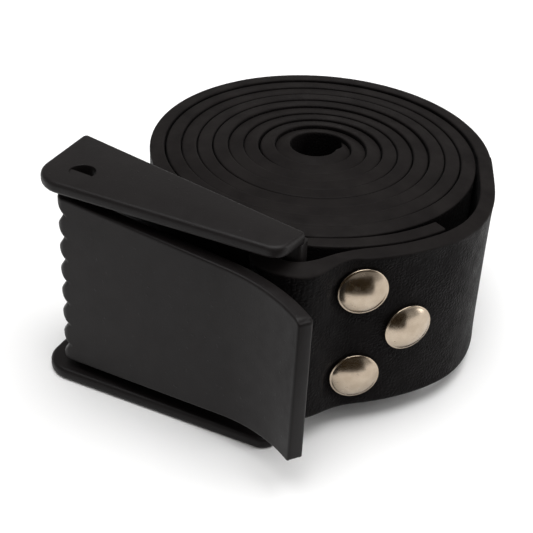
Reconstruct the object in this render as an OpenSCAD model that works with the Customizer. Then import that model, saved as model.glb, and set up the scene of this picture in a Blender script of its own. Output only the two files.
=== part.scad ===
// Dive weight belt, rolled up: a flat rubber strap with a moulded cam buckle riveted to one end.
// Millimetres, +Z up along the strap's width, origin at the centre of the whole object's box.

/* [Strap] */
// Width of the strap
strap_w = 50; // [40:1:60]
// Thickness of the strap
strap_t = 4.5; // [3.5:0.1:5.5]
// Space between neighbouring turns of the roll
layer_gap = 0.2; // [0.1:0.05:0.6]
// Radius of the open middle of the roll
core_r = 5.2; // [4:0.1:12]
// Turns in the roll
turns = 9.1; // [4:0.1:11]

/* [Riveted loop] */
// Inner radius of the strap's loop round the bar
loop_in_r = 4.6; // [3.8:0.1:6]
// How much longer than round the loop is
loop_stretch = 3; // [0:0.1:5]
// Room for the rivets' back caps between the lap and the roll
lap_room = 2.6; // [2.2:0.1:5]
// Space between the strap and its turned-back end
lap_gap = 0.6; // [0.3:0.1:1.5]
// Angle that the turned-back end covers round the roll
lap_angle = 44.7; // [40:0.1:60]

/* [Rivets] */
// Diameter of a rivet's cap
cap_d = 14.3; // [10:0.1:16]
// Height of the outer cap
cap_h = 2.3; // [1.5:0.1:3]
// Height of the back cap
back_cap_h = 1.6; // [1.2:0.1:1.9]
// Sheet thickness of the caps
cap_wall = 0.4; // [0.3:0.05:0.5]
// Radius of the socket that fills the strap's hole
socket_r = 2.5; // [2:0.1:3]
// Height from the strap's middle to the upper and lower rivets
rivet_rise = 14.3; // [10:0.1:16]

/* [Buckle frame] */
// Length of a side plate
plate_len = 78; // [70:1:95]
// Depth of a side plate at its hinge end
plate_deep = 29; // [26:0.5:34]
// Radius of a side plate's front corner at the hinge end
plate_corner_r = 9; // [3:0.5:12]
// Thickness of a side plate
plate_t = 3.6; // [2.5:0.1:5]
// Space between a side plate and the strap's edge
side_room = 5; // [3:0.1:8]
// Thickness of the back wall
wall_t = 3.5; // [2.5:0.1:4.5]
// Diameter of the bar that holds the strap
bar_d = 5; // [4:0.1:7]

/* [Flap] */
// Thickness of the flap
flap_t = 4.4; // [3.5:0.1:5.5]
// Straight length of the flap from its pivot
flap_straight = 50.3; // [44:0.1:60]
// Outer radius of the flap's curved end
flap_bend_r = 47.5; // [35:0.5:60]
// Angle of the flap's curved end
flap_bend = 34; // [20:1:40]
// Radius of the flap's barrel
barrel_r = 7; // [6:0.1:8.4]
// Radius of the barrel's front corner
barrel_corner_r = 4.5; // [3:0.1:5.5]
// How far the cam stands out of the barrel
cam_rise = 1.4; // [0.8:0.1:2]
// Space between the flap and each side plate
flap_room = 2.4; // [1:0.1:4]
// How much lower each edge of the flap is at its free end
flap_taper = 4.6; // [2:0.1:7]
// Diameter of the flap's trunnions
trunnion_d = 7.36; // [5:0.02:8]
// Number of grooves round the barrel
groove_count = 7; // [3:1:9]
// Depth of a groove
groove_deep = 1.4; // [0.8:0.1:1.8]
// Distance from the flap's edge to the nearest groove
groove_margin = 5.4; // [4:0.1:9]

/* [Hidden] */

rubber = [0.13, 0.12, 0.12];
nylon = [0.17, 0.16, 0.16];
nickel = [0.72, 0.68, 0.62];

fit_gap = 0.05;      // radial play of a running or pressed fit
clear_gap = 0.3;     // space between the bar and the loop's inner face
cut_over = 2;        // how far a cut passes the faces that it opens
root = 0.5;          // how far the bar and the wall run into the side plates
turn_step = 9;       // degrees between the points of a turn
loop_step = 10;      // degrees between the points of the loop
corner_step = 15;    // degrees between the points of a rounded corner

// ---- plan of the strap, seen from above, about the middle of the roll
pitch = strap_t + layer_gap;
roll_start = 24;     // where the roll's outer turn begins
leave_start = 5;     // the outer layer leaves the roll over this stretch of angle
leave_end = 52;
run_end = 80;        // where the outer layer turns away towards the bar
bar_angle = -70.7;   // direction of the loop from the middle of the roll
exit_turn = -33.5;   // where the outer layer meets the loop, about the loop's centre
ease = 4.5;          // length of the handles that round the bend into the loop

roll_c = core_r + strap_t / 2 + pitch * turns;
function roll_r(a) = roll_c - pitch * a / 360;
lap_r = roll_r(360 - run_end) + strap_t + lap_room;
ride_r = lap_r + strap_t + lap_gap;
loop_r = loop_in_r + strap_t / 2;
loop_c = (lap_r + loop_r) * [cos(bar_angle), sin(bar_angle)];

function polar(r, a) = r * [cos(a), sin(a)];
function smooth(x) = let (k = max(0, min(1, x))) k * k * (3 - 2 * k);
function leave_r(a) = let (k = smooth((-a - leave_start) / (leave_end - leave_start)))
    roll_r(a) * (1 - k) + ride_r * k;
function bezier(a, b, c, d, k) =
    pow(1 - k, 3) * a + 3 * k * pow(1 - k, 2) * b + 3 * k * k * (1 - k) * c + pow(k, 3) * d;

run_a = polar(ride_r, roll_start - run_end);
run_b = loop_c + polar(loop_r, exit_turn);
run_a2 = run_a + ease * [sin(roll_start - run_end), -cos(roll_start - run_end)];
run_b2 = run_b - ease * [sin(exit_turn), -cos(exit_turn)];
loop_end = bar_angle - 180;
loop_far = bar_angle - 90;
function loop_p(a) = loop_c + polar(loop_r, a) + polar(loop_stretch * max(0, cos(a - loop_far)), loop_far);

middle_line = concat(
    [for (a = [turns * 360 : -turn_step : 0.1]) polar(roll_r(a), a + roll_start)],
    [for (a = [0 : -turn_step / 2 : -run_end + 0.1]) polar(leave_r(a), a + roll_start)],
    [for (k = [0 : 1 / 6 : 0.99]) bezier(run_a, run_a2, run_b2, run_b, k)],
    [for (a = [exit_turn : -loop_step : loop_end + 0.1]) loop_p(a)],
    [for (a = [bar_angle : turn_step / 2 : bar_angle + lap_angle]) polar(lap_r, a)]);

function unit(v) = v / norm(v);
function side_of(line, i) = let (d = unit(line[min(i + 1, len(line) - 1)] - line[max(i - 1, 0)])) [-d.y, d.x];
function beside(line, d) = [for (i = [0 : len(line) - 1]) line[i] + d * side_of(line, i)];
function turned(list) = [for (i = [len(list) - 1 : -1 : 0]) list[i]];
strap_plan = concat(beside(middle_line, strap_t / 2), turned(beside(middle_line, -strap_t / 2)));

// ---- rivets: angle round the roll and height of each
rivet_angle = -53.8;
rivet_ahead = 13.6;
rivets = [[rivet_angle, rivet_rise], [rivet_angle + rivet_ahead, 0], [rivet_angle, -rivet_rise]];
cap_r = cap_d / 2;
lip = 0.95;                       // width of a cap's rolled edge
rim_h = 0.5;                      // straight height of a cap's edge
cap_play = 0.1;                   // between a cap's rolled edge and the flange inside it
flange_r = cap_r - lip - cap_play;
socket_wall = 0.75;
floor_t = 0.6;                    // thickness of the socket's closed end
post_r = socket_r - socket_wall;
outer_face = ride_r + strap_t / 2;
back_seat = sqrt(pow(lap_r - strap_t / 2, 2) - pow(cap_r, 2)) - fit_gap;
grip = outer_face - back_seat;    // what the rivet holds together

// ---- buckle frame, placed by its bar
bar_r = bar_d / 2;
bar_shift = 0.1;                  // the bar's middle lies this far left of the loop's
bar_c = [loop_c.x - bar_shift, loop_c.y - loop_in_r + bar_r + clear_gap];
half_in = strap_w / 2 + side_room;
half_out = half_in + plate_t;
end_out = 2.7;                    // how far a side plate passes the bar's middle
front_out = 11.4;                 // from the bar's middle to a side plate's straight front edge
back_out = 0.4;                   // from the bar's middle to the back edge, beside the bar
front_y = bar_c.y - front_out;
left_x = bar_c.x + end_out - plate_len;
right_x = bar_c.x + end_out;
end_lean = 2;                     // how far the end beside the bar leans back from the front edge
end_corner_r = 5;
back_corner_r = 1.5;
plate_corners = [[left_x, front_y, plate_corner_r], [right_x - end_lean, front_y, end_corner_r],
                 [right_x, bar_c.y + back_out, back_corner_r], [left_x, front_y + plate_deep, back_corner_r]];

// points round corner i of an outline listed as [x, y, radius], anticlockwise
function corner(list, i) =
    let (n = len(list), p = [list[i].x, list[i].y], r = list[i].z,
         before = list[(i + n - 1) % n], after = list[(i + 1) % n],
         a = unit([before.x, before.y] - p), b = unit([after.x, after.y] - p),
         half = acos(a * b) / 2, mid = p + unit(a + b) * r / sin(half),
         arm = p + a * r / tan(half) - mid,
         turn = 180 - 2 * half, steps = ceil(turn / corner_step))
    [for (k = [0 : steps]) mid + polar(r, atan2(arm.y, arm.x) + turn * k / steps)];
plate_plan = [for (i = [0 : len(plate_corners) - 1]) each corner(plate_corners, i)];

// the back wall runs along the side plates' back edge and stops short of the loop
back_dir = unit([right_x - left_x, bar_c.y + back_out - front_y - plate_deep]);
back_side = [back_dir.y, -back_dir.x];
wall_inset = 1;
wall_end_in = 2;                  // from the side plates' hinge end to the wall
wall_gap = 1.5;                   // between the wall and the loop
wall_start = [left_x, front_y + plate_deep] + wall_end_in * back_dir + wall_inset * back_side;
wall_len = loop_p(loop_far).x - strap_t / 2 - wall_gap - wall_start.x;

// ---- flap, placed by its pivot
pivot = [left_x, front_y] + [11.7, 9.3];
flap_tilt = -4.7;
trunnion_short = 0.3;             // how far a trunnion's end lies below the side plate's outer face
trunnion_r = trunnion_d / 2;
hole_r = trunnion_r + fit_gap;
flap_half = half_in - flap_room;
groove_pitch = 2 * (flap_half - groove_margin) / (groove_count - 1);
cam_c = [1.6, cam_rise];
flap_end_x = flap_straight + flap_bend_r * sin(flap_bend);
bend_c = [flap_straight, -barrel_r - flap_bend_r];
flap_local = concat([[0, -barrel_r]],
    [for (a = [90 : -4 : 90 - flap_bend]) bend_c + polar(flap_bend_r, a)],
    [for (a = [90 - flap_bend : 4 : 90.1]) bend_c + polar(flap_bend_r + flap_t, a)],
    [[0, -barrel_r + flap_t]]);
function swung(p, a) = [p.x * cos(a) - p.y * sin(a), p.x * sin(a) + p.y * cos(a)];
flap_plan = [for (p = flap_local) pivot + swung(p, flap_tilt)];

// ---- the object's box sets the origin
function xs(list) = [for (p = list) p.x];
function ys(list) = [for (p = list) p.y];
box_mid = [min(xs(plate_plan)) + max(xs(strap_plan)), min(ys(flap_plan)) + max(ys(strap_plan))] / 2;

module placed() { translate([-box_mid.x, -box_mid.y, 0]) children(); }

// a rivet's own frame: +Z points out of the strap, zero on the strap's outer face
module at_rivet(i) {
    placed() rotate([0, 0, rivets[i][0]]) translate([outer_face, 0, rivets[i][1]])
        rotate([0, 90, 0]) children();
}

// the strap is holed for the sockets and pressed in under the caps
module strap() {
    color(rubber) difference() {
        placed() linear_extrude(strap_w, center = true) polygon(strap_plan);
        for (i = [0 : len(rivets) - 1]) at_rivet(i) {
            translate([0, 0, -grip - cut_over])
                cylinder(h = grip + 2 * cut_over, r = socket_r + fit_gap, $fn = 48);
            cylinder(h = cap_h, r = cap_r + fit_gap, $fn = 48);
        }
    }
}

module side_plate() {
    difference() {
        linear_extrude(plate_t) polygon(plate_plan);
        translate([pivot.x, pivot.y, -cut_over]) cylinder(h = plate_t + 2 * cut_over, r = hole_r, $fn = 64);
    }
}

module buckle_frame() {
    color(nylon) placed() {
        translate([0, 0, half_in]) side_plate();
        translate([0, 0, -half_out]) side_plate();
        translate([bar_c.x, bar_c.y, -half_in - root])
            cylinder(h = 2 * (half_in + root), r = bar_r, $fn = 48);
        translate([wall_start.x, wall_start.y, -half_in - root])
            rotate([0, 0, atan2(back_dir.y, back_dir.x)])
                translate([0, -wall_t, 0]) cube([wall_len / back_dir.x, wall_t, 2 * (half_in + root)]);
    }
}

// one groove is a ring cut round the barrel's outer side
module groove() {
    reach = 2 * barrel_r;
    slope = groove_pitch / 2 / (2 * groove_deep);
    rotate_extrude($fn = 64)
        polygon([[barrel_r - groove_deep, 0], [reach, -(reach - barrel_r + groove_deep) * slope],
                 [reach, (reach - barrel_r + groove_deep) * slope]]);
}

// the barrel with its squarer front corner, and the cam beside it
module barrel_blank() {
    inner = barrel_r - barrel_corner_r;
    high = 2 * flap_half;
    translate([0, 0, -flap_half]) {
        cylinder(h = high, r = barrel_r, $fn = 64);
        translate([-inner, -inner, 0]) cylinder(h = high, r = barrel_corner_r, $fn = 64);
        translate([-barrel_r, -inner, 0]) cube([barrel_r, inner, high]);
        translate([-inner, -barrel_r, 0]) cube([inner, barrel_r, high]);
        translate([cam_c.x, cam_c.y, 0]) cylinder(h = high, r = barrel_r, $fn = 64);
    }
}

module flap_blank() {
    translate([0, 0, -flap_half]) linear_extrude(2 * flap_half) polygon(flap_local);
    barrel_blank();
}

// outline of the flap seen from the front: its edges come closer together towards the free end
module flap_face() {
    low = flap_half - flap_taper;
    chamfer = 2.4;
    far = flap_end_x + cut_over;
    near = -2 * barrel_r;
    tip = flap_end_x - chamfer;
    deep = 2 * flap_bend_r;
    rotate([90, 0, 0]) linear_extrude(deep, center = true)
        polygon([[near, -flap_half], [0, -flap_half], [tip, -low], [far, -low + chamfer],
                 [far, low - chamfer], [tip, low], [0, flap_half], [near, flap_half]]);
}

// a trunnion's back half is cut away at a slant, which lets it snap into the side plate
module trunnion() {
    high = half_out - flap_half - trunnion_short + root;
    slant = -40;
    side = 4 * barrel_r;
    difference() {
        cylinder(h = high, r = trunnion_r, $fn = 64);
        translate([-side / 2, 0, high - trunnion_r / 2]) rotate([slant, 0, 0]) cube(side);
    }
}

module buckle_flap() {
    color(nylon) placed() translate([pivot.x, pivot.y, 0]) rotate([0, 0, flap_tilt]) {
        difference() {
            intersection() {
                flap_blank();
                flap_face();
            }
            intersection() {
                for (i = [0 : groove_count - 1])
                    translate([0, 0, -flap_half + groove_margin + i * groove_pitch]) groove();
                translate([-2 * barrel_r - cut_over, -2 * barrel_r, -flap_half])
                    cube([2 * barrel_r, 4 * barrel_r, 2 * flap_half]);
            }
        }
        translate([0, 0, flap_half - root]) trunnion();
        mirror([0, 0, 1]) translate([0, 0, flap_half - root]) trunnion();
    }
}

// half section of a drawn cap with its edge rolled in; the dome is an arc
function dome(r, h, n) = let (big = (r * r + h * h) / (2 * h))
    [for (i = [0 : n]) let (x = r * i / n) [x, sqrt(big * big - x * x) - big + h]];
module cap_shell(h) {
    steps = 8;
    lip_top = -0.15;
    top = dome(cap_r, h - rim_h, steps);
    under = dome(cap_r - cap_wall, h - rim_h - cap_wall, steps);
    edge = [[cap_r, -rim_h], [cap_r - lip, -rim_h], [cap_r - lip, lip_top], [cap_r - cap_wall, lip_top]];
    rotate_extrude($fn = 64) translate([0, rim_h]) polygon(concat(top, edge, turned(under)));
}

module rivet_cap(i) {
    color(nickel) at_rivet(i) cap_shell(cap_h);
}

module rivet_back_cap(i) {
    color(nickel) at_rivet(i) translate([0, 0, -grip]) mirror([0, 0, 1]) cap_shell(back_cap_h);
}

module rivet_post(i) {
    end_gap = cap_wall;           // from the post's end to the socket's floor
    color(nickel) at_rivet(i) {
        cylinder(h = cap_wall, r = flange_r, $fn = 48);
        translate([0, 0, -grip + floor_t + end_gap]) cylinder(h = grip - floor_t, r = post_r, $fn = 48);
    }
}

module rivet_socket(i) {
    top_gap = 1;                  // from the socket's open end to the strap's outer face
    color(nickel) at_rivet(i) translate([0, 0, -grip]) difference() {
        union() {
            translate([0, 0, -cap_wall]) cylinder(h = cap_wall, r = flange_r, $fn = 48);
            translate([0, 0, -cap_wall / 2])
                cylinder(h = grip - top_gap + cap_wall / 2, r = socket_r, $fn = 48);
        }
        translate([0, 0, floor_t]) cylinder(h = grip, r = post_r + fit_gap, $fn = 48);
    }
}

strap();
buckle_frame();
buckle_flap();
rivet_cap(0);  // upper_rivet_cap
rivet_post(0);  // upper_rivet_post
rivet_socket(0);  // upper_rivet_socket
rivet_back_cap(0);  // upper_rivet_back_cap
rivet_cap(1);  // middle_rivet_cap
rivet_post(1);  // middle_rivet_post
rivet_socket(1);  // middle_rivet_socket
rivet_back_cap(1);  // middle_rivet_back_cap
rivet_cap(2);  // lower_rivet_cap
rivet_post(2);  // lower_rivet_post
rivet_socket(2);  // lower_rivet_socket
rivet_back_cap(2);  // lower_rivet_back_cap
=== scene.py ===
import math

import bmesh
import bpy
from mathutils import Matrix, Vector, noise


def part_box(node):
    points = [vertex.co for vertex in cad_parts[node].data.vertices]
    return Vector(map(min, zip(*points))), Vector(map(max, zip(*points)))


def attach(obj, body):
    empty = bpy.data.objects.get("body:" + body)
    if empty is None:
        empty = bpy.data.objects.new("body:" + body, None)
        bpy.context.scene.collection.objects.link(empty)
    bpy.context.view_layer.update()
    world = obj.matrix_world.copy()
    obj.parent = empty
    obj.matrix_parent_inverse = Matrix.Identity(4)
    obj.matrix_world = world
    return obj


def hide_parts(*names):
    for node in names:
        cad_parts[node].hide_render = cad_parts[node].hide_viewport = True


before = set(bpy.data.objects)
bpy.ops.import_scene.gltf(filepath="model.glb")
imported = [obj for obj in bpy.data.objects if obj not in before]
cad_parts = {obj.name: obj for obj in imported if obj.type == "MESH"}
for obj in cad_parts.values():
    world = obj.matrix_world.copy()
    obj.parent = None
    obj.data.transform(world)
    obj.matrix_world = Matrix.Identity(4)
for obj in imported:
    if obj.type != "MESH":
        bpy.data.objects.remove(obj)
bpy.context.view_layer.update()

mm = 0.001

# The roll's middle, in millimetres, from the buckle frame's left end and front edge
frameLow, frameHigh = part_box("buckle_frame")
rollMiddle = Vector((frameLow[0] / mm + 55.40, frameLow[1] / mm + 70.31))


def polar(radius, degrees):
    return Vector((radius * math.cos(math.radians(degrees)), radius * math.sin(math.radians(degrees))))


def smooth(value):
    value = max(0.0, min(1.0, value))
    return value * value * (3 - 2 * value)


def bump(value, middle, width):
    return math.exp(-((value - middle) / width) ** 2)


def rowPoint(flat, height):
    return Vector(((flat[0] + rollMiddle.x) * mm, (flat[1] + rollMiddle.y) * mm, height * mm))


def makePiece(name, verts, faces, material, smoothAngle=35):
    mesh = bpy.data.meshes.new(name)
    mesh.from_pydata([tuple(v) for v in verts], [], faces)
    mesh.validate()
    work = bmesh.new()
    work.from_mesh(mesh)
    bmesh.ops.remove_doubles(work, verts=work.verts, dist=1e-6)
    bmesh.ops.recalc_face_normals(work, faces=work.faces)
    work.to_mesh(mesh)
    work.free()
    for polygon in mesh.polygons:
        polygon.use_smooth = True
    mesh.set_sharp_from_angle(angle=math.radians(smoothAngle))
    piece = bpy.data.objects.new(name, mesh)
    bpy.context.scene.collection.objects.link(piece)
    mesh.materials.append(material)
    return piece


# Materials of the rubber, the two nylon mouldings and the nickel
def newMaterial(name):
    material = bpy.data.materials.new(name)
    material.use_nodes = True
    nodes = material.node_tree.nodes
    nodes.clear()
    output = nodes.new("ShaderNodeOutputMaterial")
    shader = nodes.new("ShaderNodeBsdfPrincipled")
    material.node_tree.links.new(shader.outputs[0], output.inputs[0])
    return material, material.node_tree, shader


def addNode(tree, kind, **values):
    node = tree.nodes.new(kind)
    for key, value in values.items():
        if key in node.inputs:
            node.inputs[key].default_value = value
        else:
            setattr(node, key, value)
    return node


def noiseNode(tree, vector, scale, detail=3.0, roughness=0.55):
    node = addNode(tree, "ShaderNodeTexNoise", Scale=scale, Detail=detail, Roughness=roughness)
    tree.links.new(vector, node.inputs["Vector"])
    return node.outputs["Fac"]


def rangeNode(tree, value, low, high, toLow, toHigh):
    node = tree.nodes.new("ShaderNodeMapRange")
    for slotName, number in (("From Min", low), ("From Max", high), ("To Min", toLow), ("To Max", toHigh)):
        node.inputs[slotName].default_value = number
    tree.links.new(value, node.inputs["Value"])
    return node.outputs["Result"]


def mathNode(tree, operation, first, second):
    node = addNode(tree, "ShaderNodeMath", operation=operation)
    for index, value in enumerate((first, second)):
        if isinstance(value, (int, float)):
            node.inputs[index].default_value = value
        else:
            tree.links.new(value, node.inputs[index])
    return node.outputs[0]


def colourMix(tree, factor, first, second):
    ramp = tree.nodes.new("ShaderNodeValToRGB")
    ramp.color_ramp.elements[0].color = (*first, 1)
    ramp.color_ramp.elements[1].color = (*second, 1)
    ramp.color_ramp.elements[0].position = 0.3
    ramp.color_ramp.elements[1].position = 0.7
    tree.links.new(factor, ramp.inputs[0])
    return ramp.outputs[0]


def bumpNode(tree, height, strength, distance, under=None):
    node = addNode(tree, "ShaderNodeBump", Strength=strength, Distance=distance)
    tree.links.new(height, node.inputs["Height"])
    if under is not None:
        tree.links.new(under, node.inputs["Normal"])
    return node.outputs[0]


def rubberMaterial():
    # the cut edges are painted about three times lighter than the faces: a painted highlight standing for
    # the top light falling on the coil's upper edges
    look = {"face": ((0.0014, 0.0009, 0.0010), (0.0036, 0.0027, 0.0028)),
            "edge": ((0.0058, 0.0047, 0.0046), (0.0108, 0.0092, 0.0088)),
            "edgeStart": 0.0241, "edgeEnd": 0.0249,  # metres from the strap's middle
            "roughness": (0.46, 0.66), "specular": 0.055, "dust": 0.012, "dustRoughness": 0.4,
            "grain": 2600, "grainDepth": 0.00005, "cells": 900, "cellDepth": 0.0004, "cellWander": 0.0006,
            "weave": 1500, "weaveDepth": 0.00005, "creases": 1050, "creaseDepth": 0.0004,
            "creaseStart": 0.060, "creaseEnd": 0.112}
    material, tree, shader = newMaterial("strapRubber")
    place = tree.nodes.new("ShaderNodeTexCoord")
    solid, flat = place.outputs["Object"], place.outputs["UV"]
    parts = addNode(tree, "ShaderNodeSeparateXYZ")
    tree.links.new(flat, parts.inputs[0])
    fromMiddle = mathNode(tree, "ABSOLUTE", parts.outputs[1], 0.0)
    onEdge = rangeNode(tree, fromMiddle, look["edgeStart"], look["edgeEnd"], 0, 1)
    cloud = noiseNode(tree, solid, 110, 5, 0.6)
    # the face colour on the strap's faces, the lighter painted-light colour on its cut edges
    colour = addNode(tree, "ShaderNodeMix", data_type="RGBA")
    tree.links.new(onEdge, colour.inputs[0])
    tree.links.new(colourMix(tree, cloud, *look["face"]), colour.inputs[6])
    tree.links.new(colourMix(tree, cloud, *look["edge"]), colour.inputs[7])
    tree.links.new(colour.outputs[2], shader.inputs["Base Color"])
    patches = noiseNode(tree, solid, 240, 5, 0.6)
    tree.links.new(rangeNode(tree, patches, 0.3, 0.7, *look["roughness"]), shader.inputs["Roughness"])
    shader.inputs["Specular IOR Level"].default_value = look["specular"]
    shader.inputs["Sheen Weight"].default_value = look["dust"]
    shader.inputs["Sheen Roughness"].default_value = look["dustRoughness"]
    normal = bumpNode(tree, noiseNode(tree, solid, look["grain"], 3, 0.6), 0.4, look["grainDepth"])
    # a leathery skin of small uneven cells, broken up by the cloth the rubber was pressed on
    wander = addNode(tree, "ShaderNodeTexNoise", Scale=500, Detail=2.0)
    tree.links.new(flat, wander.inputs["Vector"])
    shift = addNode(tree, "ShaderNodeVectorMath", operation="SCALE", Scale=look["cellWander"])
    tree.links.new(wander.outputs["Color"], shift.inputs[0])
    moved = addNode(tree, "ShaderNodeVectorMath", operation="ADD")
    tree.links.new(flat, moved.inputs[0])
    tree.links.new(shift.outputs[0], moved.inputs[1])
    cells = addNode(tree, "ShaderNodeTexVoronoi", feature="DISTANCE_TO_EDGE", Scale=look["cells"])
    tree.links.new(moved.outputs[0], cells.inputs["Vector"])
    smoothFace = rangeNode(tree, onEdge, 0, 1, 1, 0)
    ridges = rangeNode(tree, cells.outputs["Distance"], 0.0, 0.3, 0, 1)
    skin = mathNode(tree, "MULTIPLY", ridges, smoothFace)
    worn = rangeNode(tree, noiseNode(tree, solid, 130, 3), 0.35, 0.65, 0.25, 1.0)
    faded = mathNode(tree, "MULTIPLY", skin, worn)
    normal = bumpNode(tree, faded, 0.5, look["cellDepth"], normal)
    spun = addNode(tree, "ShaderNodeMapping", vector_type="POINT")
    spun.inputs["Rotation"].default_value = (0, 0, math.radians(38))
    tree.links.new(flat, spun.inputs["Vector"])
    waves = []
    for direction in ("X", "Y"):
        wave = addNode(tree, "ShaderNodeTexWave", Scale=look["weave"] / 6, Distortion=1.5, Detail=1.0)
        wave.bands_direction = direction
        tree.links.new(spun.outputs[0], wave.inputs["Vector"])
        waves.append(wave.outputs["Fac"])
    weave = mathNode(tree, "MULTIPLY", mathNode(tree, "MULTIPLY", waves[0], waves[1]), smoothFace)
    normal = bumpNode(tree, weave, 0.45, look["weaveDepth"], normal)
    # close upright creases where the strap comes out of its bend round the bar
    stretched = addNode(tree, "ShaderNodeMapping", vector_type="POINT")
    stretched.inputs["Scale"].default_value = (look["creases"], 130, 1)
    tree.links.new(moved.outputs[0], stretched.inputs["Vector"])
    creases = noiseNode(tree, stretched.outputs[0], 1.0, 2, 0.5)
    into = rangeNode(tree, parts.outputs[0], look["creaseStart"], look["creaseStart"] + 0.008, 0, 1)
    out = rangeNode(tree, parts.outputs[0], look["creaseEnd"] - 0.035, look["creaseEnd"], 1, 0)
    mask = mathNode(tree, "MULTIPLY", mathNode(tree, "MULTIPLY", into, out), smoothFace)
    normal = bumpNode(tree, mathNode(tree, "MULTIPLY", creases, mask), 0.7, look["creaseDepth"], normal)
    tree.links.new(normal, shader.inputs["Normal"])
    return material


def nylonMaterial(name, shade):
    look = {"dark": (0.0056, 0.0045, 0.0046), "light": (0.0082, 0.0069, 0.0068), "roughness": (0.38, 0.50),
            "specular": 0.16, "grain": 2400, "grainDepth": 0.00006, "flow": 26}
    material, tree, shader = newMaterial(name)
    solid = tree.nodes.new("ShaderNodeTexCoord").outputs["Object"]
    cloud = noiseNode(tree, solid, look["flow"], 5, 0.6)
    dark = tuple(value * shade for value in look["dark"])
    light = tuple(value * shade for value in look["light"])
    tree.links.new(colourMix(tree, cloud, dark, light), shader.inputs["Base Color"])
    patches = noiseNode(tree, solid, 210, 4, 0.6)
    tree.links.new(rangeNode(tree, patches, 0.3, 0.7, *look["roughness"]), shader.inputs["Roughness"])
    shader.inputs["Specular IOR Level"].default_value = look["specular"]
    grain = noiseNode(tree, solid, look["grain"], 2, 0.5)
    normal = bumpNode(tree, grain, 0.5, look["grainDepth"])
    specks = rangeNode(tree, noiseNode(tree, solid, 900, 1, 0.4), 0.72, 0.8, 0, 1)
    normal = bumpNode(tree, specks, 0.5, 0.0001, normal)
    tree.links.new(normal, shader.inputs["Normal"])
    return material


def nickelMaterial():
    look = {"dark": (0.38, 0.31, 0.235), "light": (0.48, 0.40, 0.315), "roughness": (0.19, 0.29)}
    material, tree, shader = newMaterial("rivetNickel")
    solid = tree.nodes.new("ShaderNodeTexCoord").outputs["Object"]
    cloud = noiseNode(tree, solid, 260, 4, 0.6)
    tree.links.new(colourMix(tree, cloud, look["dark"], look["light"]), shader.inputs["Base Color"])
    shader.inputs["Metallic"].default_value = 1.0
    patches = noiseNode(tree, solid, 420, 5, 0.65)
    tree.links.new(rangeNode(tree, patches, 0.3, 0.7, *look["roughness"]), shader.inputs["Roughness"])
    scratches = addNode(tree, "ShaderNodeMapping", vector_type="POINT")
    scratches.inputs["Scale"].default_value = (300, 2600, 700)
    tree.links.new(solid, scratches.inputs["Vector"])
    normal = bumpNode(tree, noiseNode(tree, scratches.outputs[0], 1.0, 3, 0.6), 0.12, 0.00003)
    tree.links.new(normal, shader.inputs["Normal"])
    return material


rubber = rubberMaterial()
frameNylon = nylonMaterial("frameNylon", 1.0)
flapNylon = nylonMaterial("flapNylon", 1.08)
nickel = nickelMaterial()
print("materials made")


# The strap: nine turns, the run round the roll's front, the loop round the bar and the lap under the rivets
strap = {"width": 50.0, "thick": 4.5, "gap": 0.2, "worn": 0.07, "corner": 0.5, "heights": 45,
         "coreRadius": 5.2, "turns": 9.1, "rollStart": 24.0, "slant": 7.0, "step": 2.0,
         "leaveStart": 5.0, "leaveEnd": 52.0, "runEnd": 79.0,
         "lapRoom": 2.6, "lapGap": 0.6, "lapAngle": 44.7,
         "loopInside": 4.6, "loopStretch": 3.2, "loopAngle": -70.7, "exitTurn": -33.5, "ease": 6.5,
         "edgeTilt": 7.3, "mostTilt": 1.15}
rivet = {"radius": 7.15, "height": 2.75, "angle": -53.8, "ahead": 13.6, "rise": 14.3, "sides": 96,
         "pressed": 0.12, "pressedWide": 2.2}
strap["pitch"] = strap["thick"] + strap["gap"]
rollOutside = strap["coreRadius"] + strap["thick"] / 2 + strap["pitch"] * strap["turns"]


def rollRadius(angle):
    return rollOutside - strap["pitch"] * angle / 360


lapRadius = rollRadius(360 - strap["runEnd"]) + strap["thick"] + strap["lapRoom"]
rideRadius = lapRadius + strap["thick"] + strap["lapGap"]
loopRadius = strap["loopInside"] + strap["thick"] / 2
loopMiddle = polar(lapRadius + loopRadius, strap["loopAngle"])
rivetPlaces = {"upper": (rivet["angle"], rivet["rise"]), "middle": (rivet["angle"] + rivet["ahead"], 0.0),
               "lower": (rivet["angle"], -rivet["rise"])}

# Where turns stand apart or lean outwards: the turn counted from the outside, the angle it spreads over and
# how far, in millimetres
looseTurns = [(0.18, 60, 0.42), (1.22, 34, -0.12), (6.55, 60, 0.20), (7.55, 60, -0.10), (4.30, 40, 0.12)]
leanTurns = [(0.74, 62, 1.1), (1.74, 62, 0.8), (2.74, 60, 0.5), (3.74, 60, 0.3)]


def looseness(angle):
    total = 0.05 * math.sin(math.radians(angle * 0.37 + 40)) + 0.03 * math.sin(math.radians(angle * 1.13))
    for turn, spread, amount in looseTurns:
        total += amount * bump(angle, turn * 360, spread * 1.6)
    return total


def lean(angle):
    return sum(amount * bump(angle, turn * 360, spread) for turn, spread, amount in leanTurns)


def loopPoint(angle):
    far = strap["loopAngle"] - 90
    stretch = strap["loopStretch"] * max(0.0, math.cos(math.radians(angle - far)))
    return loopMiddle + polar(loopRadius, angle) + polar(stretch, far)


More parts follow.
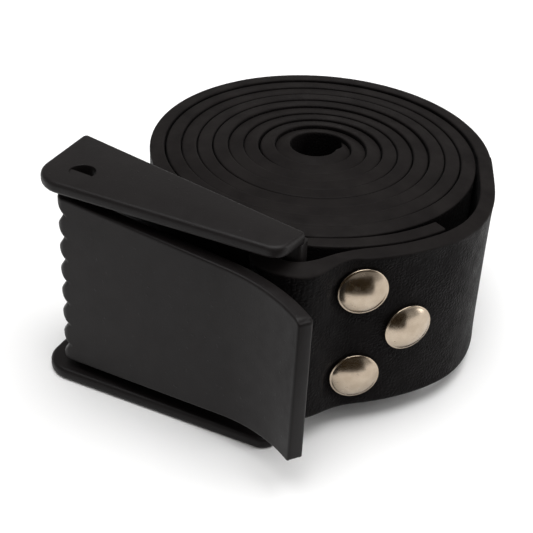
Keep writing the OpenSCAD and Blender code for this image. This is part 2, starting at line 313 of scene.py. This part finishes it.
def strapLine():
    # places in plan from the roll's middle to the riveted end, each with its lean and its rise
    line = []
    angle = strap["turns"] * 360
    while angle > 0:
        line.append((polar(rollRadius(angle) + looseness(angle), angle + strap["rollStart"]), lean(angle),
                     0.16 * math.sin(math.radians(angle * 0.71 + 30))))
        angle -= strap["step"] * min(4.0, max(1.0, 45 / rollRadius(angle)))
    angle = 0.0
    while angle > -strap["runEnd"] + 0.1:
        share = smooth((-angle - strap["leaveStart"]) / (strap["leaveEnd"] - strap["leaveStart"]))
        radius = (rollRadius(angle) + looseness(angle)) * (1 - share) + rideRadius * share
        line.append((polar(radius, angle + strap["rollStart"]), 0.2 + 0.4 * share, 0.1))
        angle -= 0.9
    start = polar(rideRadius, strap["rollStart"] - strap["runEnd"])
    end = loopPoint(strap["exitTurn"])
    startWay = polar(1, strap["rollStart"] - strap["runEnd"] - 90)
    endWay = polar(1, strap["exitTurn"] - 90)
    handles = (start, start + startWay * strap["ease"], end - endWay * strap["ease"] * 0.7, end)
    steps = 14
    for index in range(steps):
        k = index / steps
        weights = ((1 - k) ** 3, 3 * k * (1 - k) ** 2, 3 * k * k * (1 - k), k ** 3)
        point = sum((handle * weight for handle, weight in zip(handles, weights)), Vector((0, 0)))
        line.append((point, 0.6 + 0.2 * smooth(k), 0.1 + 0.3 * smooth(k)))
    angle = strap["exitTurn"]
    while angle > strap["loopAngle"] - 180 + 0.1:
        share = smooth((angle - strap["loopAngle"] + 180) / 60)
        line.append((loopPoint(angle), 0.25 + 0.55 * share, 0.4 * share))
        angle -= 5
    angle = strap["loopAngle"]
    while angle < strap["loopAngle"] + strap["lapAngle"] + 0.01:
        line.append((polar(lapRadius, angle), 0.25, 0.0))
        angle += strap["step"]
    return line


def strapSection():
    # outer face from the lower to the upper edge, round the upper edge, then the same for the inner face
    half, thin, corner = strap["width"] / 2, strap["thick"] / 2 - strap["worn"], strap["corner"]
    count = strap["heights"]
    side = [(thin, (half - corner) * (2 * k / (count - 1) - 1)) for k in range(count)]
    turn = []
    for a in (22.5, 45, 67.5, 90):
        spot = polar(corner, a)
        turn.append((thin - corner + spot.x, half - corner + spot.y))
    across = [(x, half) for x in (thin / 2, 0.0, -thin / 2)]
    upper = side + turn + across + [(-x, z) for x, z in reversed(turn)]
    return upper + [(-x, -z) for x, z in upper]


def bendOf(line, lengths):
    # how sharply the line bends at each place, evened out along a few millimetres
    raw = []
    for index in range(len(line)):
        a, b, c = (line[max(0, min(len(line) - 1, index + k))][0] for k in (-1, 0, 1))
        first, second = b - a, c - b
        if first.length < 1e-6 or second.length < 1e-6:
            raw.append(0.0)
            continue
        turn = math.atan2(first.x * second.y - first.y * second.x, first.dot(second))
        raw.append(-turn / ((first.length + second.length) / 2))
    raw[0], raw[-1] = raw[1], raw[-2]
    even = []
    for index, here in enumerate(lengths):
        near = [(raw[k], math.exp(-((lengths[k] - here) / 3.0) ** 2))
                for k in range(max(0, index - 12), min(len(raw), index + 13))]
        even.append(sum(v * w for v, w in near) / sum(w for v, w in near))
    return even


def pressUnderCaps(flat, height):
    # the caps press the strap's outer face in
    seat = rideRadius + strap["thick"] / 2
    for angle, rise in rivetPlaces.values():
        out = polar(1, angle)
        along = Vector((-out.y, out.x))
        away = math.hypot(flat.dot(along), height - rise)
        wide = away - rivet["radius"]
        if wide > rivet["pressedWide"] or flat.dot(out) < seat - 2.5:
            continue
        share = max(0.0, wide) / rivet["pressedWide"]
        limit = seat - rivet["pressed"] * (1 - smooth(share)) + 1.6 * share ** 1.5
        if flat.dot(out) > limit:
            flat = flat + out * (limit - flat.dot(out))
    return flat


def makeStrap():
    line = strapLine()
    section = strapSection()
    half, thin = strap["width"] / 2, strap["thick"] / 2
    lengths = [0.0]
    for index in range(1, len(line)):
        lengths.append(lengths[-1] + (line[index][0] - line[index - 1][0]).length)
    total = lengths[-1]
    bends = bendOf(line, lengths)
    verts, flats, faces = [], [], []
    for index, (point, flare, raised) in enumerate(line):
        before, after = line[max(0, index - 1)][0], line[min(len(line) - 1, index + 1)][0]
        way = (after - before).normalized()
        out = Vector((-way.y, way.x))
        tilt = max(-strap["mostTilt"], min(strap["mostTilt"], strap["edgeTilt"] * bends[index]))
        outermost = index > len(line) - 190
        # the inner end is cut on a slant
        cut = 0.93 * max(0.0, 1 - lengths[index] / strap["slant"])
        for x, z in section:
            x += (thin - x) * cut
            k = z / half
            offset = flare * (0.25 * k * k + 0.75 * k ** 6)
            slope = flare * (0.5 * k + 4.5 * k ** 5) / half
            wave = 0.08 * noise.noise(Vector((lengths[index] * 0.08, z * 0.07, 3.1))) if outermost else 0.0
            height = z - x * slope + raised - math.copysign(1, z) * tilt * (x / thin) * abs(k) ** 5
            flat = point + out * (x + offset + wave)
            if x > 0 and lengths[index] > total - 200:
                flat = pressUnderCaps(flat, height)
            verts.append(rowPoint(flat, height))
            flats.append(((total - lengths[index]) * mm, z * mm))
    count, rows = len(section), strap["heights"]
    for index in range(len(line) - 1):
        for k in range(count):
            after = (k + 1) % count
            faces.append((index * count + k, index * count + after,
                          (index + 1) * count + after, (index + 1) * count + k))
    for first in (0, (len(line) - 1) * count):  # the two cut ends
        opposite = [first + count // 2 + rows - 1 - k for k in range(rows)]
        faces += [(first + k, first + k + 1, opposite[k + 1], opposite[k]) for k in range(rows - 1)]
        faces.append(tuple(range(first + rows - 1, first + count // 2 + 1)))
        faces.append(tuple(range(first + count // 2 + rows - 1, first + count)) + (first,))
    piece = makePiece("beltStrap", verts, faces, rubber, 40)
    mesh = piece.data
    layer = mesh.uv_layers.new(name="strapLength")
    for loop in mesh.loops:
        layer.data[loop.index].uv = flats[loop.vertex_index]
    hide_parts("strap")
    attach(piece, "belt")
    print("strap: %d mm long, %d faces" % (total, len(mesh.polygons)))


makeStrap()


# The buckle frame: two side plates, the back wall between them and the bar in the strap's loop
plates = {"length": 78.0, "deep": 29.0, "thick": 3.6, "halfInside": 30.0, "rim": 1.25,
          "frontCorner": 9.0, "endCorner": 5.0, "backCorner": 1.5, "endLean": 2.0,
          "barRadius": 2.5, "endOut": 2.7, "frontOut": 11.4, "backOut": 0.4,
          "wallThick": 3.5, "wallInset": 1.0, "wallEndIn": 2.0, "wallGap": 1.5, "wallCorner": 1.2,
          "holeRadius": 3.73, "holeChamfer": 0.12, "holeSides": 60, "holeIn": 11.7, "holeUp": 9.3}
barMiddle = Vector((loopMiddle.x - 0.1, loopMiddle.y - strap["loopInside"] + plates["barRadius"] + 0.3))
frontEdge = barMiddle.y - plates["frontOut"]
leftEnd = barMiddle.x + plates["endOut"] - plates["length"]
rightEnd = barMiddle.x + plates["endOut"]
pivot = Vector((leftEnd + plates["holeIn"], frontEdge + plates["holeUp"]))


def roundedOutline(corners, step=7.5):
    points = []
    for index, (x, y, radius) in enumerate(corners):
        here = Vector((x, y))
        before = (Vector(corners[index - 1][:2]) - here).normalized()
        after = (Vector(corners[(index + 1) % len(corners)][:2]) - here).normalized()
        half = math.acos(before.dot(after)) / 2
        middle = here + (before + after).normalized() * radius / math.sin(half)
        arm = here + before * radius / math.tan(half) - middle
        start, turn = math.degrees(math.atan2(arm.y, arm.x)), 180 - 2 * math.degrees(half)
        steps = max(2, round(turn / step))
        points += [middle + polar(radius, start + turn * k / steps) for k in range(steps + 1)]
    return points


def inset(points, distance):
    # moves an anticlockwise outline inwards
    moved = []
    for index, point in enumerate(points):
        way = (points[(index + 1) % len(points)] - points[index - 1]).normalized()
        moved.append(point + Vector((-way.y, way.x)) * distance)
    return moved


def roundedSlab(name, outline, low, high, rim, material, hole=None):
    # a flat plate with rounded rims, and a round hole if one is given as (middle, radius)
    work = bmesh.new()
    arcs = [math.radians(a) for a in (0, 22.5, 45, 67.5, 90)]
    rings = [(rim * (1 - math.cos(a)), low + rim - rim * math.sin(a)) for a in reversed(arcs)]
    rings += [(rim * (1 - math.cos(a)), high - rim + rim * math.sin(a)) for a in arcs]
    levels = []
    for distance, height in rings:
        levels.append([work.verts.new(rowPoint(p, height)) for p in inset(outline, distance)])
    count = len(outline)
    for lower, upper in zip(levels, levels[1:]):
        for k in range(count):
            work.faces.new((lower[k], lower[(k + 1) % count], upper[(k + 1) % count], upper[k]))
    ends = [levels[0], levels[-1]]
    holeRings = []
    if hole:
        middle, radius = hole
        chamfer, sides = plates["holeChamfer"], plates["holeSides"]
        for wide, height in ((chamfer, low), (0, low + chamfer), (0, high - chamfer), (chamfer, high)):
            circle = [middle + polar(radius + wide, 360 * k / sides) for k in range(sides)]
            holeRings.append([work.verts.new(rowPoint(p, height)) for p in circle])
        for lower, upper in zip(holeRings, holeRings[1:]):
            for k in range(sides):
                work.faces.new((lower[(k + 1) % sides], lower[k], upper[k], upper[(k + 1) % sides]))
    for end, ring in zip(ends, (holeRings[0], holeRings[-1]) if hole else ((), ())):
        edges = [work.edges.get((end[k], end[(k + 1) % count])) for k in range(count)]
        edges += [work.edges.get((ring[k], ring[(k + 1) % len(ring)])) for k in range(len(ring))]
        bmesh.ops.triangle_fill(work, use_beauty=True, edges=edges)
    verts = [v.co.copy() for v in work.verts]
    work.verts.index_update()
    faces = [tuple(v.index for v in f.verts) for f in work.faces]
    work.free()
    return makePiece(name, verts, faces, material)


def joinPieces(name, parts):
    for part in bpy.context.selected_objects:
        part.select_set(False)
    for part in parts:
        part.select_set(True)
    bpy.context.view_layer.objects.active = parts[0]
    bpy.ops.object.join()
    parts[0].name = name
    return parts[0]


def makeFrame():
    inside, outside = plates["halfInside"], plates["halfInside"] + plates["thick"]
    backY = barMiddle.y + plates["backOut"]
    corner = plates["backCorner"]
    outline = roundedOutline([(leftEnd, frontEdge, plates["frontCorner"]),
                              (rightEnd - plates["endLean"], frontEdge, plates["endCorner"]),
                              (rightEnd, backY, corner), (leftEnd, frontEdge + plates["deep"], corner)])
    hole = (pivot, plates["holeRadius"])
    parts = [roundedSlab("plateUp", outline, inside, outside, plates["rim"], frameNylon, hole),
             roundedSlab("plateDown", outline, -outside, -inside, plates["rim"], frameNylon, hole)]
    way = Vector((rightEnd - leftEnd, backY - frontEdge - plates["deep"])).normalized()
    side = Vector((way.y, -way.x))
    start = Vector((leftEnd, frontEdge + plates["deep"]))
    start += plates["wallEndIn"] * way + plates["wallInset"] * side
    loopLeft = loopPoint(strap["loopAngle"] - 90).x - strap["thick"] / 2
    end = start + way * ((loopLeft - plates["wallGap"] - start.x) / way.x)
    across = side * plates["wallThick"]
    corners = (start + across, end + across, end, start)
    wall = roundedOutline([(*p, plates["wallCorner"]) for p in corners], 22.5)
    parts.append(roundedSlab("wall", wall, -inside - 0.5, inside + 0.5, 0.1, frameNylon))
    # the bar is nearly square, flush with the side plates' ends
    low, high = barMiddle - Vector((2.4, 2.5)), Vector((rightEnd - 0.1, barMiddle.y + 2.3))
    bar = roundedOutline([(low.x, low.y, 1.3), (high.x, low.y, 1.3), (high.x, high.y, 1.0),
                          (low.x, high.y, 1.3)], 15)
    parts.append(roundedSlab("bar", bar, -inside - 0.5, inside + 0.5, 0.1, frameNylon))
    piece = joinPieces("buckleFrameShell", parts)
    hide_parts("buckle_frame")
    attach(piece, "frame")
    print("buckle frame: %d faces" % len(piece.data.polygons))


makeFrame()


# The buckle flap: the cam lever with its grooved barrel and the two trunnions it turns on
flap = {"thick": 4.4, "straight": 50.3, "bendRadius": 47.5, "bend": 34.0, "half": 27.6, "taper": 4.6,
        "tilt": -4.7, "rim": 0.7, "tipRim": 0.7, "tipCorner": 1.6, "tipDrop": 0.7,
        "barrel": 7.0, "barrelLeft": 0.8, "cornerRadius": 4.5, "cam": (1.6, 1.4),
        "grooves": 7, "grooveMargin": 5.4, "grooveDeep": 2.2, "grooveWide": 3.7, "grooveRun": 4.6,
        "grooveStart": 0.6, "rows": 158,
        "trunnion": 3.68, "trunnionShort": 0.3, "trunnionSlant": 1.6, "crease": 0.3}
flapLength = flap["straight"] + flap["bendRadius"] * math.sin(math.radians(flap["bend"]))


def flapOutline():
    # front face, free end, back face, cam, barrel; each place comes with how deep a groove is there
    low, corner = -flap["barrel"], flap["cornerRadius"]
    bendMiddle = Vector((flap["straight"], low - flap["bendRadius"]))
    tip, rim = 90 - flap["bend"], flap["tipRim"]
    points = [Vector((flap["straight"] * k / 40, low)) for k in range(41)]
    points += [bendMiddle + polar(flap["bendRadius"], 90 - flap["bend"] * k / 24) for k in range(1, 24)]
    # the free end: rounded, flat, rounded
    for middle, angles in ((flap["bendRadius"] + rim, (180, 210, 240, 270)),
                           (flap["bendRadius"] + flap["thick"] - rim, (270, 300, 330, 360))):
        edge = bendMiddle + polar(middle, tip) - polar(rim, tip - 90)
        points += [edge + polar(rim, tip + a) for a in angles]
    points += [bendMiddle + polar(flap["bendRadius"] + flap["thick"], 90 - flap["bend"] * k / 24)
               for k in range(23, -1, -1)]
    camMiddle = Vector(flap["cam"])
    meet = camMiddle.x + math.sqrt(flap["barrel"] ** 2 - (low + flap["thick"] - camMiddle.y) ** 2)
    points += [Vector((flap["straight"] + (meet - flap["straight"]) * k / 30, low + flap["thick"]))
               for k in range(1, 31)]
    first = math.degrees(math.asin((low + flap["thick"] - camMiddle.y) / flap["barrel"]))
    points += [camMiddle + polar(flap["barrel"], first + (138 - first) * k / 40) for k in range(1, 41)]
    inner = low + corner
    left = [polar(flap["barrel"], 145 + 35 * k / 9) for k in range(10)]
    left += [Vector((low, inner * k / 4)) for k in range(1, 5)]
    left += [Vector((inner, inner)) + polar(corner, 180 + 90 * k / 22) for k in range(1, 23)]
    left += [Vector((inner * (1 - k / 5), low)) for k in range(1, 5)]
    run, deep = -flap["grooveStart"], [0.0] * (len(points) + len(left))
    everything = [Vector((p.x * flap["barrelLeft"], p.y)) if p.x < 0 else p for p in points + left]
    for index in range(len(everything) - 1, len(points) - 30, -1):
        run += (everything[index] - everything[(index + 1) % len(everything)]).length
        angle = math.degrees(math.atan2(everything[index].y, everything[index].x)) % 360
        share = min(1.0, max(0.0, run / flap["grooveRun"]))
        deep[index] = flap["grooveDeep"] * share * smooth((angle - 80) / 35)
    return everything, deep


def flapHalf(point):
    half = flap["half"] - flap["taper"] * min(1.0, max(0.0, point.x) / flapLength)
    bendMiddle = Vector((flap["straight"], -flap["barrel"] - flap["bendRadius"]))
    if point.x < flap["straight"]:
        return half
    toTip = flap["bend"] - math.degrees(math.atan2(point.x - bendMiddle.x, point.y - bendMiddle.y))
    toTip = math.radians(max(0.0, toTip)) * flap["bendRadius"]
    return half - flap["tipDrop"] * max(0.0, 1 - toTip / flap["tipCorner"]) ** 2


def grooveDepth(deep, height):
    # grooves are widest where they are deepest
    pitch = 2 * (flap["half"] - flap["grooveMargin"]) / (flap["grooves"] - 1)
    place = (height + flap["half"] - flap["grooveMargin"]) / pitch
    nearest = min(flap["grooves"] - 1, max(0, round(place)))
    wide = flap["grooveWide"] * deep / flap["grooveDeep"]
    away = abs(place - nearest) * pitch
    # below its valley a groove has a flat flank with a sharp edge; above it runs out smoothly
    power = 1.0 if place < nearest else 1.7
    return deep * (1 - away / wide) ** power if away < wide else 0.0


def flapRow(point):
    turned = Matrix.Rotation(math.radians(flap["tilt"]), 2) @ point
    return pivot + turned


def makeFlap():
    outline, deep = flapOutline()
    count = len(outline)
    facing = []
    for index in range(count):
        way = (outline[(index + 1) % count] - outline[index - 1]).normalized()
        facing.append(Vector((way.y, -way.x)))
    rim, rows = flap["rim"], flap["rows"]
    arcs = [(1 - math.cos(math.radians(a)), 1 - math.sin(math.radians(a))) for a in (90, 60, 30)]
    rings = [(-1, rim * inwards, rim * shift) for inwards, shift in arcs]
    rings += [(2 * k / rows - 1, 0.0, 0.0) for k in range(rows + 1)]
    rings += [(1, rim * inwards, -rim * shift) for inwards, shift in reversed(arcs)]
    verts, faces = [], []
    for share, inwards, shift in rings:
        for index, (point, out) in enumerate(zip(outline, facing)):
            half = flapHalf(point)
            height = share * (half - rim) if not inwards else share * half + shift
            place = point - out * (inwards + grooveDepth(deep[index], height))
            verts.append(rowPoint(flapRow(place), height))
    for level in range(len(rings) - 1):
        for k in range(count):
            after = (k + 1) % count
            here, above = level * count, (level + 1) * count
            faces.append((here + k, here + after, above + after, above + k))
    last = (len(rings) - 1) * count
    faces.append(tuple(range(count)))
    faces.append(tuple(last + k for k in range(count)))
    body = makePiece("flapBody", verts, faces, flapNylon, 38)
    work = bmesh.new()
    work.from_mesh(body.data)
    bmesh.ops.triangulate(work, faces=[f for f in work.faces if len(f.verts) > 8], ngon_method="BEAUTY")
    work.to_mesh(body.data)
    work.free()
    parts = [body]
    reach = plates["halfInside"] + plates["thick"] - flap["trunnionShort"]
    sides = 60
    for sign in (1, -1):
        levels = [flap["half"] - 1] + [flap["half"] + 0.5] + [reach]
        pinVerts, pinFaces = [], []
        for level, height in enumerate(levels):
            for k in range(sides):
                p = polar(flap["trunnion"], 360 * k / sides)
                drop = max(0.0, p.y + flap["crease"]) * flap["trunnionSlant"] if level == 2 else 0.0
                pinVerts.append(rowPoint(flapRow(p), sign * (height - drop)))
        for low, high in ((0, sides), (sides, 2 * sides)):
            for k in range(sides):
                after = (k + 1) % sides
                pinFaces.append((low + k, low + after, high + after, high + k))
        # the end is flat in front and slants away behind, on either side of a straight crease
        crease = [rowPoint(flapRow(Vector((x, -flap["crease"]))), sign * reach) for x in (-2.4, 0.0, 2.4)]
        first = len(pinVerts)
        pinVerts += crease
        for k in range(sides):
            nearest = 2 if k < 9 or k >= 51 else 0 if 21 <= k < 39 else 1
            pinFaces.append((2 * sides + k, 2 * sides + (k + 1) % sides, first + nearest))
        pinFaces += [(first + 1, first + 2, 2 * sides + 9), (first, first + 1, 2 * sides + 21),
                     (first + 2, first + 1, 2 * sides + 51), (first + 1, first, 2 * sides + 39)]
        parts.append(makePiece("trunnion", pinVerts, pinFaces, flapNylon, 30))
    piece = joinPieces("buckleFlapLever", parts)
    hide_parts("buckle_flap")
    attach(piece, "flap")
    print("buckle flap: %d faces" % len(piece.data.polygons))


makeFlap()


# The rivets: domed outer caps, over posts, sockets and back caps that keep their own meshes
def makeRivetCap(name, angle, height):
    # a drawn dome, flatter in the middle, with its edge rolled under
    seat = rideRadius + strap["thick"] / 2
    radius, rise, rolled = rivet["radius"], rivet["height"], 0.42
    profile = []
    for k in range(1, 25):
        x = (radius - rolled) * k / 24
        share = x / radius
        profile.append((x, rolled + (rise - rolled) * (1 - 0.78 * share ** 2 - 0.22 * share ** 6)))
    start = profile[-1][1] - rolled * 0.85
    for a in (35, 60, 90, 125, 160):
        edge = polar(rolled, 90 - a)
        profile.append((radius - rolled + edge.x, start + edge.y))
    profile += [(radius - 0.3, -0.3), (radius - 1.0, -0.3)]
    out = polar(1, angle)
    along = Vector((-out.y, out.x))
    verts = [rowPoint(out * (seat + rise), height)]
    sides = rivet["sides"]
    for x, z in profile:
        for k in range(sides):
            spot = polar(x, 360 * k / sides)
            verts.append(rowPoint(out * (seat + z) + along * spot.x, height + spot.y))
    faces = [(0, 1 + k, 1 + (k + 1) % sides) for k in range(sides)]
    for row in range(len(profile) - 1):
        for k in range(sides):
            here, after = 1 + row * sides + k, 1 + row * sides + (k + 1) % sides
            faces.append((here, here + sides, after + sides, after))
    faces.append(tuple(1 + (len(profile) - 1) * sides + k for k in range(sides)))
    piece = makePiece(name + "RivetDome", verts, faces, nickel, 60)
    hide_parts(name + "_rivet_cap")
    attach(piece, "belt")


for rivetName, (angle, height) in rivetPlaces.items():
    makeRivetCap(rivetName, angle, height)
    for part in ("post", "socket", "back_cap"):
        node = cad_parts["%s_rivet_%s" % (rivetName, part)]
        node.data.materials.clear()
        node.data.materials.append(nickel)
print("rivets made")


# The floor, the lights and the camera, lengths in metres but for the camera's millimetres
studio = {"floorSize": 6.0, "floorColour": (0.95, 0.95, 0.95),
          "horizon": (0.50, 0.49, 0.48), "zenith": (0.26, 0.255, 0.25),
          "lights": {"softTop": ((0.05, -0.05, 1.3), (1.3, 1.3), 23, (1, 1, 1)),
                     "softRight": ((1.1, 0.45, 0.42), (0.5, 0.8), 4.5, (1, 1, 1))},
          "dark": {"distance": 0.125, "from": -78, "to": -28, "low": -0.031, "high": 0.045,
                   "colour": (0.035, 0.022, 0.006)},
          "target": (-1.3, -16.9, 0.0), "azimuth": 24.0, "elevation": 33.39, "roll": 3.25,
          "distance": 369.0, "lens": 84.83}


def makeFloor():
    # the rolled belt rests on the front edge of its lower side plate and on the roll's far edge
    frontLow = Vector((0, (frontEdge + rollMiddle.y) * mm, -(plates["halfInside"] + plates["thick"]) * mm))
    backLow = Vector((0, (rollMiddle.y + 51.5) * mm, -strap["width"] / 2 * mm))
    slope = math.atan2(backLow.z - frontLow.z, backLow.y - frontLow.y)
    half = studio["floorSize"] / 2
    mesh = bpy.data.meshes.new("floor")
    corners = [(-half, -half, 0), (half, -half, 0), (half, half, 0), (-half, half, 0)]
    mesh.from_pydata(corners, [], [(0, 1, 2, 3)])
    floor = bpy.data.objects.new("floor", mesh)
    bpy.context.scene.collection.objects.link(floor)
    floor.rotation_euler = (slope, 0, 0)
    floor.location = frontLow - Vector((0, 0, 0.0001))
    material, _, shader = newMaterial("paleFloor")
    shader.inputs["Base Color"].default_value = (*studio["floorColour"], 1)
    shader.inputs["Roughness"].default_value = 0.9
    shader.inputs["Specular IOR Level"].default_value = 0.1
    mesh.materials.append(material)


def makeLight(name, place, size, power, colour=(1, 1, 1)):
    data = bpy.data.lights.new(name, "AREA")
    data.shape = "RECTANGLE"
    data.size, data.size_y = size
    data.energy = power
    data.color = colour
    light = bpy.data.objects.new(name, data)
    bpy.context.scene.collection.objects.link(light)
    light.location = place
    light.rotation_euler = (Vector((0, 0, 0)) - Vector(place)).to_track_quat("-Z", "Y").to_euler()
    return light


def roomWorld():
    # a pale room, brightest round the horizon
    world = bpy.data.worlds.new("dimRoom")
    world.use_nodes = True
    tree = world.node_tree
    background = tree.nodes["Background"]
    place = tree.nodes.new("ShaderNodeTexCoord")
    parts = tree.nodes.new("ShaderNodeSeparateXYZ")
    tree.links.new(place.outputs["Generated"], parts.inputs[0])
    ramp = tree.nodes.new("ShaderNodeValToRGB")
    ramp.color_ramp.elements[0].color = (*studio["horizon"], 1)
    ramp.color_ramp.elements[1].color = (*studio["zenith"], 1)
    ramp.color_ramp.elements[0].position = 0.08
    ramp.color_ramp.elements[1].position = 0.45
    tree.links.new(parts.outputs[2], ramp.inputs[0])
    tree.links.new(ramp.outputs[0], background.inputs["Color"])
    background.inputs["Strength"].default_value = 1.0
    bpy.context.scene.world = world


def makeDarkCard():
    # a low curved card that only mirror-like surfaces see, for the dark band across the rivet domes
    card, steps = studio["dark"], 16
    verts = []
    for k in range(steps + 1):
        place = polar(card["distance"], card["from"] + (card["to"] - card["from"]) * k / steps)
        verts += [(place.x, place.y, card["low"]), (place.x, place.y, card["high"])]
    faces = [(2 * k, 2 * k + 2, 2 * k + 3, 2 * k + 1) for k in range(steps)]
    mesh = bpy.data.meshes.new("darkCard")
    mesh.from_pydata(verts, [], faces)
    material, _, shader = newMaterial("cardBlack")
    shader.inputs["Base Color"].default_value = (*card["colour"], 1)
    shader.inputs["Roughness"].default_value = 1.0
    shader.inputs["Specular IOR Level"].default_value = 0.0
    mesh.materials.append(material)
    piece = bpy.data.objects.new("darkCard", mesh)
    bpy.context.scene.collection.objects.link(piece)
    piece.visible_camera = False
    piece.visible_diffuse = False
    piece.visible_shadow = False


def makeStudio():
    makeFloor()
    makeDarkCard()
    roomWorld()
    for name, (place, size, power, colour) in studio["lights"].items():
        makeLight(name, place, size, power, colour)
    azimuth, elevation, roll = (math.radians(studio[key]) for key in ("azimuth", "elevation", "roll"))
    level = math.cos(elevation)
    back = Vector((math.sin(azimuth) * level, -math.cos(azimuth) * level, math.sin(elevation)))
    target = Vector(studio["target"]) * mm
    data = bpy.data.cameras.new("camera")
    data.lens = studio["lens"]
    data.sensor_width = 36
    data.clip_start, data.clip_end = 0.01, 20
    camera = bpy.data.objects.new("camera", data)
    bpy.context.scene.collection.objects.link(camera)
    right = Vector((math.cos(azimuth), math.sin(azimuth), 0))
    up = back.cross(right)
    rightTurned = right * math.cos(roll) + up * math.sin(roll)
    upTurned = up * math.cos(roll) - right * math.sin(roll)
    turned = Matrix((rightTurned, upTurned, back)).transposed().to_4x4()
    camera.matrix_world = Matrix.Translation(target + back * studio["distance"] * mm) @ turned
    bpy.context.scene.camera = camera
    bpy.context.scene.view_settings.view_transform = "Standard"
    print("studio made")


makeStudio()
